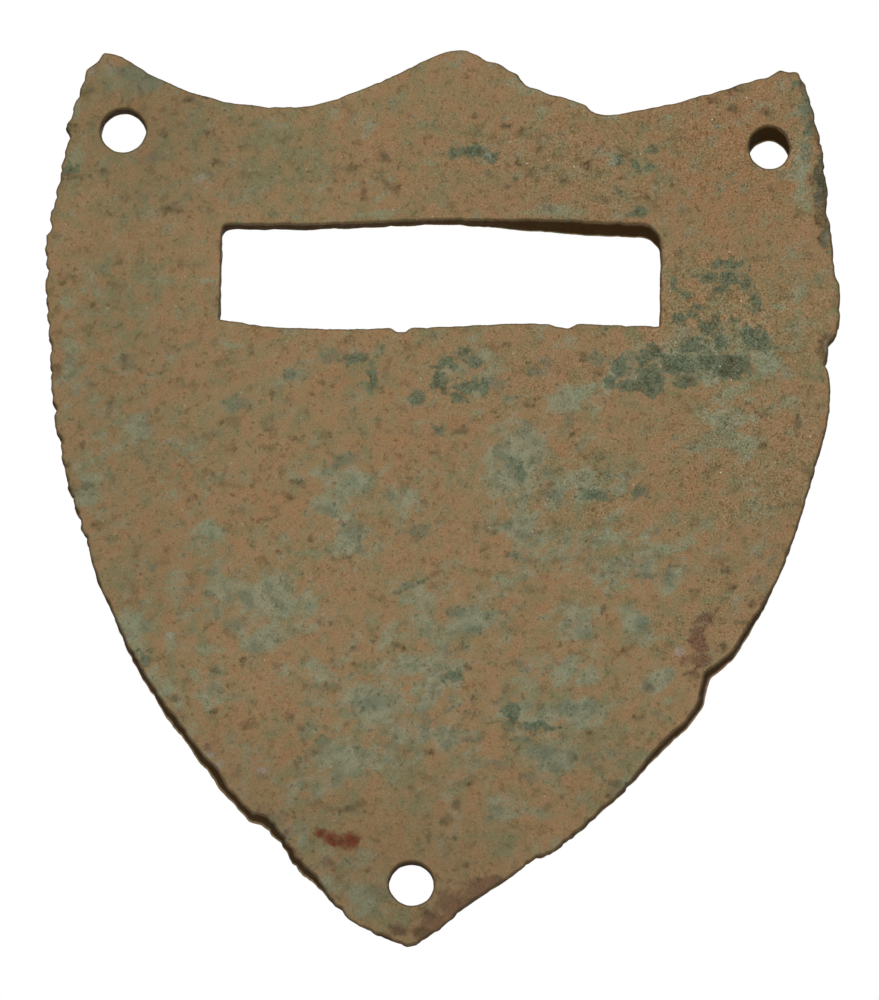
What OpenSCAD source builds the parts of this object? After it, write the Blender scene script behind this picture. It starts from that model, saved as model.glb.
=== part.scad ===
// Shield-shaped cap badge plate, cut from one sheet of copper alloy.
// Seen from the front, +X is to the right and +Z is up. The front faces -Y, and the back face is at y = 0.
// The origin is on the back face, at the middle of the plate's width and height.

/* [Plate] */
// Width of the shield across its widest part, in mm
plate_w = 55.6; // [50:0.1:70]
// Height of the shield, from its bottom point to the centre hump, in mm
plate_h = 63.8; // [58:0.1:80]
// Thickness of the sheet, in mm
plate_t = 1.6; // [0.8:0.1:3]

/* [Window slot] */
// Length of the slot, in mm
slot_w = 30.9; // [24:0.1:34]
// Height of the slot, in mm
slot_h = 7.8; // [5:0.1:9]
// Height of the slot's middle above the plate's middle, in mm
slot_z = 15.7; // [14:0.1:17]

/* [Fixing holes] */
// Diameter of the upper left and bottom holes, in mm
hole_d = 3.2; // [2:0.1:3.6]
// Diameter of the upper right hole, which is a little smaller, in mm
right_hole_d = 2.9; // [2:0.1:3.2]
// Slant of the upper right hole, which was drilled askew: it drops towards the back, in degrees
right_hole_slant = 24; // [0:1:30]
// Distance of the upper left hole from the plate's middle line, in mm
left_hole_x = 22.5; // [21.5:0.1:22.8]
// Distance of the upper right hole from the plate's middle line, in mm
right_hole_x = 23; // [21.5:0.1:23.4]
// Height of the upper left hole above the plate's middle, in mm
left_hole_z = 26.15; // [23:0.05:26.5]
// Height of the upper right hole above the plate's middle, in mm
right_hole_z = 24.55; // [23:0.05:25.5]
// Depth of the bottom hole below the plate's middle, in mm
low_hole_z = 27.65; // [25:0.05:28]
// Distance of the bottom hole from the plate's middle line, to the left, in mm
low_hole_x = 2.15; // [1.5:0.05:3]

/* [Hidden] */

metal = [0.59, 0.46, 0.34];
through = 1;        // how far each cut runs past both faces
bore_facets = 64;
curve_steps = 3;    // straight pieces in each span of a curved run

// The outline is drawn for a plate of this width and height, and then stretched to plate_w and plate_h.
drawn_w = 55.6;
drawn_h = 63.8;

// The slot is drawn around its own middle at this size, and then stretched to slot_w and slot_h.
drawn_slot_w = 30.9;
drawn_slot_h = 7.8;

// The outline goes clockwise, in runs of [x, z]. Each run is a smooth curve that ends in a corner at the
// first point of the next run. A run of one point is a straight line to the next run.
OUTLINE = [
    // from the left horn along the hollow of the top edge to the hump
    [[-23.9, 31.9], [-22.7, 31.6], [-21.3, 30.7], [-18.8, 29.4], [-15.8, 28.4], [-12.4, 27.9], [-9.4, 28],
     [-6.4, 28.9], [-3.4, 30.2], [-0.6, 31.6], [1.2, 32.1], [2.4, 31.7]],
    // the chipped right flank of the hump
    [[3.1, 31.2]],
    [[3.8, 31.2], [4.7, 30.6], [5.5, 30.1]],
    [[5.8, 29.6], [8.2, 28.7], [10.1, 28]],
    // the right hollow, up to the right horn
    [[10.4, 27.6], [11.6, 27.3], [13.6, 27.6], [16.4, 28.2], [19.6, 29.1], [22.4, 30], [24.1, 30.5]],
    [[25, 30.3]],
    // the right side, down to its nick
    [[25.5, 29.7], [26.1, 27.7], [26.6, 25.3], [27, 22.7], [27.1, 19.9], [27.4, 17.3], [27.5, 15.6]],
    [[27.8, 15], [27.8, 13.4], [27.7, 11.7]],
    [[27, 10.7]],
    // the right side, curving in below the nick
    [[26.8, 9.2], [27.1, 7.2], [26.8, 4.8], [26.1, 2.4], [25.3, -0.4], [24.4, -3.2], [23, -6.7], [21.2, -10],
     [20.1, -11.7]],
    [[18.5, -13]],
    [[18.1, -14.9]],
    // the lower right side, down to the bottom point
    [[17, -16.4], [15.3, -18], [13.7, -19.7], [11.9, -21.6], [9.9, -23.3], [8.3, -24.7], [7.1, -25.5]],
    [[6.4, -25.6], [4.4, -27.1], [2.3, -28.5], [0.6, -29.8], [-0.8, -31], [-1.8, -31.6], [-2.8, -31.7]],
    // the lower left side, up to its step
    [[-3.8, -31.1], [-5.7, -30.4], [-7.4, -28.9], [-9, -27.3], [-10.1, -26.3], [-11.1, -24.7]],
    [[-12.5, -23.3]],
    [[-13.3, -23.1], [-15.2, -21], [-17.1, -18.4], [-18.9, -16], [-20.6, -13.3], [-22, -10.8], [-23.1, -8.1]],
    // the left side, up to the left horn
    [[-23.9, -6.2], [-24.9, -2.9], [-26, 0.5], [-26.8, 3.8], [-27.3, 7.3], [-27.5, 10.8], [-27.7, 14.2],
     [-27.8, 17.8], [-27.4, 20.2], [-26.9, 22.6], [-26.4, 25.2], [-26.1, 27.3], [-25.6, 29.1]],
    [[-25.1, 30.3]]
];

// The slot goes clockwise from its top left corner, in runs of [x, z] of the same kind.
SLOT = [
    // the rounded top left corner and the bowed top edge
    [[-15.5, 3.1], [-15.3, 3.5], [-14.8, 3.6]],
    [[-14, 3.6], [-10, 3.55], [-5.8, 3.7], [-1, 3.9], [3.8, 3.9], [8.2, 3.85], [12, 3.65], [14, 3.6]],
    // the rounded top right corner and the right end
    [[14.6, 3.4], [15, 3], [15.2, 2.4]],
    [[15.3, 1]],
    // the bottom edge, with its two nicks
    [[15.2, -3.8]],
    [[9.4, -3.6]],
    [[8.8, -4]],
    [[7.2, -3.6], [4, -3.6], [1, -3.8], [-2.2, -3.9]],
    [[-2.5, -4.2]],
    [[-3.3, -4.2]],
    [[-3.6, -3.9], [-7.8, -3.95], [-11.6, -3.85], [-14.2, -3.5]],
    // the left end
    [[-15.6, -3.3]]
];

// The point at share t of the way along a Catmull-Rom curve from b to c, between its neighbours a and d
function curve_point(a, b, c, d, t) =
    0.5 * (2 * b + (c - a) * t + (2 * a - 5 * b + 4 * c - d) * t * t + (3 * b - a - 3 * c + d) * t * t * t);

// The points of one run, without its end, which belongs to the next run
function run_points(knots) =
    len(knots) == 2 ? [knots[0]] : [
        for (i = [0:len(knots) - 2], step = [0:curve_steps - 1])
            curve_point(
                knots[max(i - 1, 0)], knots[i], knots[i + 1], knots[min(i + 2, len(knots) - 1)],
                step / curve_steps
            )
    ];

// The closed polygon of a list of runs, stretched by the given factors
function closed_outline(runs, stretch_x, stretch_z) = [
    for (i = [0:len(runs) - 1])
        for (p = run_points(concat(runs[i], [runs[(i + 1) % len(runs)][0]])))
            [p[0] * stretch_x, p[1] * stretch_z]
];

// Turns a drawing in X and Z into a solid that reaches from y = back to y = back - depth
module upright(depth, back = 0) {
    translate([0, back, 0])
        rotate([90, 0, 0])
            linear_extrude(height = depth)
                children();
}

module shield_blank() {
    upright(plate_t)
        polygon(closed_outline(OUTLINE, plate_w / drawn_w, plate_h / drawn_h));
}

module window_slot() {
    translate([0, 0, slot_z])
        upright(plate_t + 2 * through, through)
            polygon(closed_outline(SLOT, slot_w / drawn_slot_w, slot_h / drawn_slot_h));
}

// A round hole whose middle lies halfway through the sheet, at [x, z]
module fixing_hole(x, z, d, slant = 0) {
    translate([x, -plate_t / 2, z])
        rotate([90 - slant, 0, 0])
            cylinder(h = plate_t + 4 * through, d = d, center = true, $fn = bore_facets);
}

module shield_plate() {
    color(metal)
        difference() {
            shield_blank();
            window_slot();
            fixing_hole(-left_hole_x, left_hole_z, hole_d);
            fixing_hole(right_hole_x, right_hole_z, right_hole_d, right_hole_slant);
            fixing_hole(-low_hole_x, -low_hole_z, hole_d);
        }
}

shield_plate();
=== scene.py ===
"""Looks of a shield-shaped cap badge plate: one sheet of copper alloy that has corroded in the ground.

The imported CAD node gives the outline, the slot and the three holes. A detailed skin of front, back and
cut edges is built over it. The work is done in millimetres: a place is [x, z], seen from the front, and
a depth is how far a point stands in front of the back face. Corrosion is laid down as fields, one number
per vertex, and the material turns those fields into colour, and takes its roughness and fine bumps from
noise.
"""

import math

import bpy
import numpy as np
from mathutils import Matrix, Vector, geometry, kdtree


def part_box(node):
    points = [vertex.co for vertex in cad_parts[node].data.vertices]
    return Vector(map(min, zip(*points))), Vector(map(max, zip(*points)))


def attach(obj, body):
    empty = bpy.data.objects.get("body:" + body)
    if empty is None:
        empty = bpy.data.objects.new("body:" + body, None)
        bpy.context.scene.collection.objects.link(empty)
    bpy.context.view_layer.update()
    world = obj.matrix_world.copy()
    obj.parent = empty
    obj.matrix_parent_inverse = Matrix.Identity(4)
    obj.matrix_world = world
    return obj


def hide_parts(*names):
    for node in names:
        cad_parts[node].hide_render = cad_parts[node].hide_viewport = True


MM = 0.001
SEED = 7

# Camera, in millimetres and degrees: it looks up at the plate from a little below its middle.
CAMERA_DISTANCE = 480
CAMERA_DROP = 13
CAMERA_LENS = 247.6
CAMERA_AIM = (-0.227, 0, -0.215)

# Spacing of the skin's points, in millimetres
FRONT_SPACING = 0.175
BACK_SPACING = 0.42
RIM_SPACING = 0.14
RIM_INSETS = (0.05, 0.12, 0.21)
WALL_STEPS = 6

# How far inside the last inset the grid of inner points begins, and how far its points are moved at random,
# as shares of their spacing
GRID_START = 0.5
GRID_JITTER = 0.22

# A rim narrower than the first is a drilled hole, and one between the others is the slot, in millimetres.
HOLE_WIDTH = 5
SLOT_WIDTHS = (20, 40)

# Passes that wear the corners of a rim round: a hole's, and any other's
HOLE_PASSES = 8
RIM_PASSES = 1

# How rough a rim is: a hole's, and any other's where ROUGH_EDGES adds nothing
HOLE_ROUGHNESS = 0.25
RIM_ROUGHNESS = 0.4

# Bites out of a rim whose roughness is 1, in millimetres: notches, coarse grain, fine grain, and their mean
NOTCH_DEPTH = 0.14
COARSE_GRAIN = 0.08
FINE_GRAIN = 0.05
MEAN_BITE = 0.03

# How far the slot's top edge hangs down at the back of its right end, in millimetres
SLOT_SAG = 0.6

# How far a point may be from the rim for its worn edge to reach it, in millimetres
FRONT_ROUNDING = 0.2
BACK_ROUNDING = 0.15

# The relief of the faces grows from nothing at the rim to its full height this far inside, in millimetres.
FRONT_SETTLE = 0.5
BACK_SETTLE = 0.8

# A rim field this high takes no colour of a worn rim.
NO_RIM = 0.3

# The slope of the corrosion's streaks, in degrees above the horizontal, and how they are drawn out
STREAK_SLOPE = 32
STREAK_STRETCH = (1.4, 1, 0.85)

# A field of distance to the edge of a spot stops at this many millimetres outside it.
SPOT_REACH = 0.8

# How far the growths stand proud of the front, in millimetres
GROWTH_HEIGHTS = {"teal": 0.035, "mint": 0.03, "dark": -0.04}

# The strength of a soft area is divided by e to this power at its half width and half height.
AREA_FALLOFF = 0.9

# Power of the lights, in watts
KEY_POWER = 4.5
BACK_POWER = 4.8

# Brightness of the world on the plate, and what the floor adds to its own for the camera, with white as 1
WORLD_STRENGTH = 0.42
FLOOR_GLOW = 0.42

# The floor's size and height, in metres
FLOOR_SIZE = 6
FLOOR_HEIGHT = -0.135

# Corroded metal hardly shines.
SPECULAR_LEVEL = 0.04

# Colours as they look on screen, from 0 to 255
COLOURS = {
    "tan": (147, 117, 84), "olive tan": (139, 118, 84), "olive green": (124, 117, 85),
    "pale soil": (148, 128, 97), "dark soil": (110, 91, 63), "warm soil": (146, 109, 74),
    "haze": (110, 118, 97), "pale haze": (138, 143, 119), "cuprite": (100, 68, 56),
    "mint": (124, 130, 104), "pale mint": (140, 144, 116), "smudge": (76, 88, 72),
    "pale smudge": (112, 118, 98), "teal stain": (100, 110, 88), "teal crust": (52, 68, 52),
    "pale crust": (98, 108, 86), "rust": (88, 32, 16), "light rust": (112, 44, 22),
    "lilac": (154, 150, 140), "dark grain": (64, 54, 36), "fleck shade": (174, 162, 132),
    # The shade and grime colour is painted shade on the front and a darker grime on the back.
    "grain shade": (190, 174, 142), "grain light": (96, 88, 76), "shade and grime": (96, 84, 60),
    # The cut edge's colour is its own dark crust together with painted shade.
    "glint": (214, 206, 188), "worn rim": (70, 57, 38), "crusted and shaded cut edge": (54, 36, 12),
    "floor": (236, 236, 234), "pale floor": (243, 243, 242),
}

# Where the front rim stands in from the back rim, or out from it below zero: x, z, reach and how far
LEANING_EDGES = [
    (-21, -12, 2.5, 0.2), (-18.5, -16, 2.5, 0.35), (-15.5, -20, 2.5, 0.45), (-12.5, -23.5, 2, 0.45),
    (-9.5, -26.6, 2, 0.4), (-5.5, -30.2, 2.5, -0.2), (-0.5, -31.5, 2.5, -0.2), (5, -28, 4, -0.15),
    (21, -10, 2.5, 0.25), (18.5, -14, 2.5, 0.4), (15.5, -18, 2.5, 0.3),
]

# Where the edge is bitten most: x, z, reach and strength
ROUGH_EDGES = [
    (-26, 27, 4, 0.9), (-27.5, 18, 6, 1), (-27, 6, 7, 0.9), (-25, -3, 5, 0.6), (26.6, 22.5, 4, 1.2),
    (27, 10, 3, 0.6), (-17, -18, 6, 0.35), (-8, -28, 6, 0.5), (6, 29.5, 3, 0.5), (8, -24.5, 4, 0.5),
    (-2, -31.5, 3, 0.5),
]

# Single bites out of the outline, or lumps on it below zero: x, z, reach and depth
BITES = [
    (-24.1, 31.2, 0.3, 0.1), (-25.1, 29.8, 0.25, 0.15), (-25.6, 28.6, 0.25, 0.12), (-25.7, 27.1, 0.3, 0.18),
    (-26, 25.6, 0.3, 0.16), (-26.6, 21.9, 0.2, 0.15), (-26.8, 21.2, 0.2, 0.12), (-24.9, 30.5, 0.3, -0.12),
    (-25.3, 29.3, 0.3, -0.15), (-25.7, 28.2, 0.25, -0.1), (-26.2, 26.5, 0.35, -0.3),
    (-26.7, 23.4, 0.3, -0.14), (-26.9, 21.6, 0.2, -0.12), (-27.3, 20.2, 0.3, -0.12), (22.9, 30.1, 0.3, 0.1),
    (23.8, 30.5, 0.3, -0.15), (24.4, 30.3, 0.25, 0.08), (24.9, 30.2, 0.3, -0.15), (26.9, 22.8, 1.2, 0.2),
    (26.8, 20.4, 0.4, 0.1),
]

# Corrosion on the front, as [x, z, half width, half height] in millimetres, and sometimes a turn in degrees.
# Dark teal and green crusts
TEAL = [
    (-26.2, 23.3, 0.5, 0.35), (3.5, 24.2, 0.5, 0.4), (2.2, 24.5, 1, 0.5), (0.8, 24.5, 0.5, 0.35),
    (12.3, 23.8, 0.4, 0.5), (12.5, 21.8, 0.35, 0.25), (13.5, 23.7, 0.4, 0.3), (14.8, 24.8, 0.4, 0.3),
    (14.4, 23.4, 0.25, 0.2), (13.7, 20.2, 0.6, 0.4), (-6, 9.5, 1, 0.35), (-5, 8.1, 0.35, 0.8),
    (-1.8, 6.7, 0.6, 0.5), (-0.5, 8.9, 0.5, 0.3), (-0.5, 8, 0.35, 0.7), (0.2, 9.5, 0.7, 0.3, 35),
    (1.5, 10, 0.7, 0.3), (2.2, 9.3, 0.5, 0.5), (0.7, 9.1, 0.3, 0.25), (1.8, 7.6, 0.9, 0.45),
    (2.9, 7.5, 0.3, 0.6), (0, 7.6, 0.4, 0.7), (1.2, 6.8, 0.5, 0.35), (12.2, 9, 0.5, 0.7), (13, 7.6, 1, 0.5),
    (11.6, 8, 0.4, 0.5), (19.6, 16.5, 0.9, 0.35), (20.6, 16.4, 0.4, 0.25), (18.6, 15.5, 0.6, 0.4),
    (20, 15.4, 0.6, 0.5), (21.3, 15.1, 0.3, 0.6), (19.4, 14.6, 0.5, 0.4), (17.6, 15.6, 0.4, 0.2),
    (16.3, 14.9, 0.25, 0.5), (17, 14.3, 0.4, 0.25), (22, 13.4, 0.3, 0.6), (17.9, 13.1, 0.35, 0.25),
    (16.4, 12.4, 0.6, 0.4), (17.5, 12.6, 0.5, 0.25), (19.1, 12.3, 0.5, 0.4), (18.6, 11.8, 0.6, 0.5),
    (20.4, 12.4, 0.3, 0.4), (21.4, 11.2, 0.6, 0.6), (22.4, 10.8, 0.4, 0.8), (22.1, 10.3, 0.8, 0.3),
    (19.4, 10.8, 0.5, 0.7), (17.6, 10.9, 0.7, 0.3), (17.3, 10.3, 1, 0.35), (14.7, 10, 0.8, 0.5),
    (14, 9.4, 0.4, 0.4), (20, 9, 1.2, 0.9), (21.3, 9, 0.3, 0.5), (16.5, 9.2, 1.2, 0.7), (14.5, 8, 1, 1.2),
    (17, 8, 0.8, 0.5), (18.4, 9.4, 0.8, 0.6), (-0.3, 4.6, 0.4, 0.3), (5.4, 1.6, 0.3, 0.6),
    (10.7, -0.3, 1, 0.35), (13.6, 0, 0.5, 0.4), (-20.6, -11.9, 0.4, 0.6), (0.5, -13.1, 0.7, 0.3),
    (4.7, -15.7, 0.5, 1), (6.5, -16.6, 1.3, 0.3), (26.5, 21.4, 0.25, 0.5), (25.9, 26.2, 0.25, 0.7),
    (27, 18.3, 0.25, 0.8), (25.1, 29.6, 0.4, 0.25), (26.8, 22.6, 0.4, 1.5),
]

# Fainter grey-green smudges
SMUDGES = [
    (-20.5, 29.7, 0.6, 0.4), (-17.4, 28.4, 0.3, 0.25), (-20.3, 24.2, 0.6, 0.4), (-20.9, 21.3, 0.5, 0.35),
    (-22.2, 9.4, 0.6, 0.4), (-17.5, 10.5, 0.35, 0.2), (-14.3, 6.3, 0.8, 0.6), (-7.8, 9.6, 0.9, 0.45),
    (-10.5, 8.5, 0.6, 0.5), (3.6, 7.8, 0.8, 0.45), (4.6, 6.7, 0.4, 0.3), (7.3, 9.3, 0.6, 0.4),
    (6.8, 8.6, 0.7, 0.3), (10.7, 9.6, 0.7, 0.6), (13.2, 9.7, 0.7, 0.4), (-20.3, -5.3, 0.4, 0.3),
    (-7, 2.2, 1.1, 0.5, 20), (-6.2, 1, 0.4, 0.3), (-8, -1.2, 0.6, 0.4), (-6.2, -2.6, 0.8, 0.5),
    (-3.7, -0.3, 0.4, 0.5), (-1.7, -2.8, 0.8, 0.5), (4.7, 2.1, 0.5, 0.4), (7.8, -0.1, 0.8, 0.35),
    (5.8, -3.2, 0.3, 0.35), (5.2, -4.5, 0.5, 0.3), (11.6, 1.2, 0.3, 0.5), (22.9, -4.8, 0.3, 0.7, -20),
    (21.9, -6.2, 0.4, 0.3), (15.8, -6, 0.4, 0.6), (14, -5.8, 0.5, 0.6), (-14.5, -9.3, 0.7, 0.4),
    (2.1, -9.7, 0.7, 0.4), (0.8, -8.5, 0.7, 0.4), (9.8, -10.1, 0.6, 0.5), (10.3, -15.3, 0.5, 0.6),
    (6.8, -18.3, 0.9, 0.6), (7.8, -19.3, 0.6, 0.45), (5.5, -17.6, 0.5, 0.25), (11.5, -18.6, 0.4, 0.35),
    (10, -18.9, 0.4, 0.5), (3.7, -19.3, 0.7, 0.35), (-8.3, -17.8, 0.5, 0.4), (-5, -15, 1, 0.6),
    (-1.2, -16, 0.35, 1.1), (13.8, -9.5, 0.6, 0.8), (14.9, -15.6, 0.35, 0.3), (-7.3, -20.2, 0.4, 0.5),
    (6, -20.2, 0.5, 0.4), (12, -21, 0.6, 0.4), (-22, 30.3, 1.3, 0.7, -25), (-20.9, 30, 0.9, 0.5, -30),
    (25.6, 27.5, 0.4, 0.8), (25.7, 24.5, 0.4, 0.8), (-11.5, -23.2, 0.7, 0.5), (-4.5, -28.2, 1.2, 0.5),
    (8.7, -15.4, 1, 0.5), (7, -18.4, 1, 0.6),
]

# Dark brown and black pits and grains
DARK = [
    (-25.2, 29, 0.6, 0.25), (-26.1, 26.5, 0.35, 0.3), (-26, 22.7, 0.7, 0.2), (-17.8, 28.5, 0.45, 0.2),
    (-19.8, 27.7, 0.25, 0.2), (-19.6, 26, 0.35, 0.2), (-16.6, 26, 0.25, 0.2), (-16, 23.8, 0.35, 0.2),
    (-23.8, 23.1, 0.5, 0.18), (-23.3, 20, 0.3, 0.2), (-19.4, 20.2, 0.5, 0.25), (-18.6, 20.1, 0.4, 0.2),
    (-4, 24.1, 0.5, 0.25), (-3.8, 22.1, 0.9, 0.2, -35), (-5.6, 21.6, 0.25, 0.4), (-6.5, 23.4, 0.4, 0.2),
    (-1, 25.7, 0.25, 0.2), (4.5, 26.5, 0.25, 0.2), (5.5, 26, 0.4, 0.25), (2.3, 27.2, 0.25, 0.2),
    (6.8, 24.8, 0.25, 0.2), (8.2, 24.2, 0.35, 0.18), (5.5, 23.7, 0.25, 0.2), (6.2, 23.1, 0.25, 0.2),
    (5.2, 22.5, 0.25, 0.2), (4.5, 22, 0.35, 0.2), (7.4, 23.4, 0.2, 0.2), (8.6, 22.5, 0.25, 0.2),
    (10.2, 23.6, 0.4, 0.25), (7.5, 20.3, 0.3, 0.2), (12.7, 22.7, 0.22, 0.2), (11.6, 21.2, 0.4, 0.2),
    (19.2, 28.2, 0.35, 0.25), (20.8, 29.1, 0.5, 0.18), (20.6, 27.6, 0.5, 0.25), (22.8, 27.5, 0.3, 0.25),
    (23.1, 21.8, 0.3, 0.15), (14.5, 21.2, 0.2, 0.35), (26.5, 22.5, 0.3, 1.6), (26.6, 20.6, 0.3, 0.5),
    (-22.8, 16.6, 0.25, 0.14), (-26.8, 15.1, 0.3, 0.2), (-26.1, 15.4, 0.3, 0.2), (-24.4, 13.5, 0.2, 0.2),
    (-26.9, 11.4, 0.3, 0.14), (-15.8, 13.5, 0.15, 0.35), (-22.4, 9.5, 0.2, 0.25), (-26.9, 8.9, 0.3, 0.25),
    (-23.3, 6.4, 0.25, 0.2), (-8.5, 7.9, 0.3, 0.2), (-11.8, 7.2, 0.25, 0.18), (4.6, 10.6, 0.25, 0.14),
    (6, 6.35, 0.35, 0.2), (9.8, 9.8, 0.25, 0.25), (15, 10.4, 0.3, 0.2), (20.2, 9.3, 0.5, 0.3),
    (19.6, 8.6, 0.4, 0.3), (17.5, 8.7, 0.15, 0.15), (17.4, 8, 0.15, 0.15), (21.2, 6.3, 0.2, 0.2),
    (26.6, 10, 0.35, 0.7), (26.9, 11, 0.3, 0.3), (-24.8, 0.5, 0.5, 0.25), (-25.2, 3.3, 0.3, 0.3),
    (-26.6, 3.8, 0.2, 0.3), (-26.2, 1.9, 0.2, 0.3), (-25.8, 0.3, 0.2, 0.25), (-17.4, -0.5, 0.3, 0.12),
    (-12.9, -0.7, 0.2, 0.18), (-10.7, -0.5, 0.3, 0.2), (-10.4, 0.7, 0.2, 0.18), (-0.6, 2.7, 0.3, 0.15),
    (-11.7, 4.7, 0.2, 0.18), (-12.4, 4.5, 0.2, 0.18), (-9.2, -3.3, 0.25, 0.2), (1.2, 4.4, 0.6, 0.3),
    (3.6, -2.8, 0.25, 0.2), (9.2, 4.2, 0.25, 0.2), (11, 2.5, 0.25, 0.2), (25.6, 1.3, 0.2, 0.4),
    (22.4, 3.3, 0.25, 0.2), (24.6, 5, 0.25, 0.45), (22.6, 5.4, 0.25, 0.2), (19.6, -5.6, 0.22, 0.2),
    (20, -6.6, 0.45, 0.25), (-15.8, -12.6, 0.22, 0.2), (-15.9, -15.6, 0.3, 0.22), (-18.5, -14.6, 0.35, 0.3),
    (-6.1, -11.2, 0.22, 0.2), (-6, -12.3, 0.28, 0.2), (-3, -10.9, 0.22, 0.2), (-8.4, -9.2, 0.22, 0.2),
    (-13.6, -16.6, 0.28, 0.2), (-10.5, -16, 0.2, 0.35), (-9.8, -16.8, 0.22, 0.2), (-13.7, -12, 0.22, 0.2),
    (-8.2, -13.6, 0.22, 0.2), (-10, -19.5, 0.18, 0.35), (-8.8, -18.5, 0.22, 0.2), (-1.9, -17.7, 0.22, 0.2),
    (-3.3, -17.2, 0.22, 0.2), (-0.8, -18.5, 0.22, 0.2), (-6.5, -16.6, 0.22, 0.2), (11.1, -8.4, 0.22, 0.25),
    (1.7, -12.4, 0.22, 0.2), (13.6, -15.9, 0.35, 0.2), (10.2, -16.9, 0.22, 0.2), (9, -18.9, 0.22, 0.2),
    (21.3, -8, 0.35, 0.28), (19, -8.5, 0.22, 0.2), (20.8, -9.4, 0.22, 0.2), (19.3, -11, 0.28, 0.4),
    (17.3, -12.9, 0.45, 0.22), (14.5, -13.8, 0.35, 0.22), (-6.4, -22.5, 0.8, 0.25),
    (-5.6, -22.2, 0.3, 0.25), (-0.9, -24.5, 0.15, 0.4), (-4.5, -24.7, 0.22, 0.18), (0.9, -24.5, 0.2, 0.18),
    (1.6, -20.6, 0.35, 0.18), (1.5, -26.2, 0.2, 0.18), (2.4, -27.3, 0.2, 0.18), (3.9, -27.3, 0.28, 0.18),
    (8.2, -21.7, 0.2, 0.18), (1, -22, 0.3, 0.4), (12, -20.7, 0.25, 0.2), (11.5, -21.5, 0.25, 0.2),
    (-1.3, -31, 1, 0.3), (24.3, 30.45, 0.6, 0.15, -10), (25.35, 29.2, 0.15, 0.7, 16),
    (26, 27, 0.13, 0.9, 14), (26.5, 25, 0.12, 0.8, 8), (26.75, 21, 0.4, 3.2), (26.3, 26.4, 0.25, 1.6, 12),
    (-2.9, -30.9, 0.8, 0.25, -25), (0.3, -30.9, 0.8, 0.22, 35), (-0.8, -29.9, 0.3, 0.25),
    (0.3, -23.3, 0.5, 0.3, 60), (-2.1, -21.1, 0.3, 0.25),
]

# Pale mint and pale green verdigris
MINT = [
    (-20.5, 29.6, 0.3, 0.2), (-21.6, 30.4, 0.35, 0.2), (-25.6, 24.3, 0.45, 0.8), (-25.8, 27.8, 0.35, 0.7),
    (-4.5, 19.9, 1.5, 0.3), (-1, 23.8, 0.35, 0.2), (3.4, 30.8, 0.3, 0.2), (5.6, 29.2, 0.6, 0.25, -20),
    (7, 27.6, 0.3, 0.2), (12.1, 27, 0.5, 0.25), (6, 20.1, 0.4, 0.22), (9.3, 20.1, 0.5, 0.28),
    (11.7, 24, 0.25, 0.4), (15.9, 27, 0.3, 0.2), (-26.3, 13.5, 0.5, 0.4), (-26.3, 11.9, 0.4, 0.2),
    (-25.7, 10.3, 0.6, 0.4), (-26.1, 6.1, 0.3, 0.25), (-16.6, 15.2, 0.6, 0.2), (-18.5, 12.8, 0.4, 0.25),
    (-15, 10.5, 0.8, 0.25), (9.5, 7, 0.8, 0.6), (8.3, 6.5, 0.5, 0.3), (10.3, 7.5, 0.3, 0.3),
    (22.5, 9.2, 0.9, 0.6), (16.1, 10.2, 0.35, 0.3), (20.3, 7.2, 1.1, 0.4, 30), (21.5, 6.8, 0.6, 0.2),
    (24.2, 6.4, 0.5, 0.3, 30), (25, 14.2, 0.5, 0.3, 60), (24.8, 13, 0.3, 0.25), (23.6, 13.3, 0.5, 0.2),
    (-24.5, 1.1, 0.6, 0.2), (-24.2, -0.5, 0.7, 0.3), (-21.8, 4.4, 0.7, 0.5), (-23.7, 4, 0.4, 0.4),
    (-16.5, -2.5, 0.5, 0.6), (-18.7, -0.2, 0.5, 0.3), (5.5, 1.5, 0.25, 0.25), (20.9, 3.5, 0.9, 0.6),
    (21.2, 2.7, 0.45, 0.5), (18.5, 5.3, 0.6, 0.5), (13.9, -3.5, 0.5, 0.25), (15.2, -3.8, 0.9, 0.28, -10),
    (17, -3.6, 0.8, 0.28, 30), (4.2, -6.4, 0.7, 0.4), (-19.2, -13.8, 0.7, 0.35, -50),
    (-18.8, -10.8, 0.35, 0.55), (-16.3, -11.2, 0.9, 0.25), (-17, -13, 0.45, 0.3), (-16.3, -15.2, 0.35, 0.5),
    (-7.3, -16.9, 0.35, 0.3), (-0.3, -10.7, 0.4, 0.3), (10.5, -8.5, 0.4, 0.35), (15.5, -14.9, 0.3, 0.25),
    (12.4, -20.5, 0.3, 0.22), (-5.5, -25.7, 0.55, 0.25), (-19, -6.7, 0.4, 0.3), (-21.6, -9.2, 0.9, 0.6),
    (-21, -10.9, 0.6, 0.7), (-20, -12.8, 0.4, 0.6), (-18.2, -15, 0.4, 0.5), (-17.3, -16.8, 0.3, 0.5),
    (25.4, 23, 0.35, 1.4), (25.8, 20.6, 0.3, 0.6), (-21.4, 30.5, 0.25, 0.2), (-20.4, 29.6, 0.35, 0.2),
    (-26, 23.9, 0.35, 0.6), (-6, -28.8, 0.9, 0.4, -40),
]

# Whitish lilac spots
LILAC = [
    (-17.2, 22.6, 0.32, 0.26), (-12.4, -19.7, 0.35, 0.3), (12, 23.7, 0.12, 0.3), (-18.9, -10.3, 0.3, 0.2),
    (-16, -18.7, 0.35, 0.25), (-15.3, -19.3, 0.3, 0.22), (3.3, 24.3, 0.14, 0.12), (16.3, -11.3, 0.35, 0.25),
    (26.9, 10.4, 0.15, 0.4), (26.5, 21.9, 0.15, 0.15), (26.7, 20.8, 0.1, 0.15), (27, 18.4, 0.1, 0.25),
    (-24.8, 30.4, 0.12, 0.12),
]

# Rust-red stain
RUST = [
    (-8.3, -24.2, 0.4, 0.35), (-7.7, -24.6, 0.5, 0.35), (-6.4, -24.7, 0.5, 0.6), (-7.1, -24.8, 0.6, 0.35),
]

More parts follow.
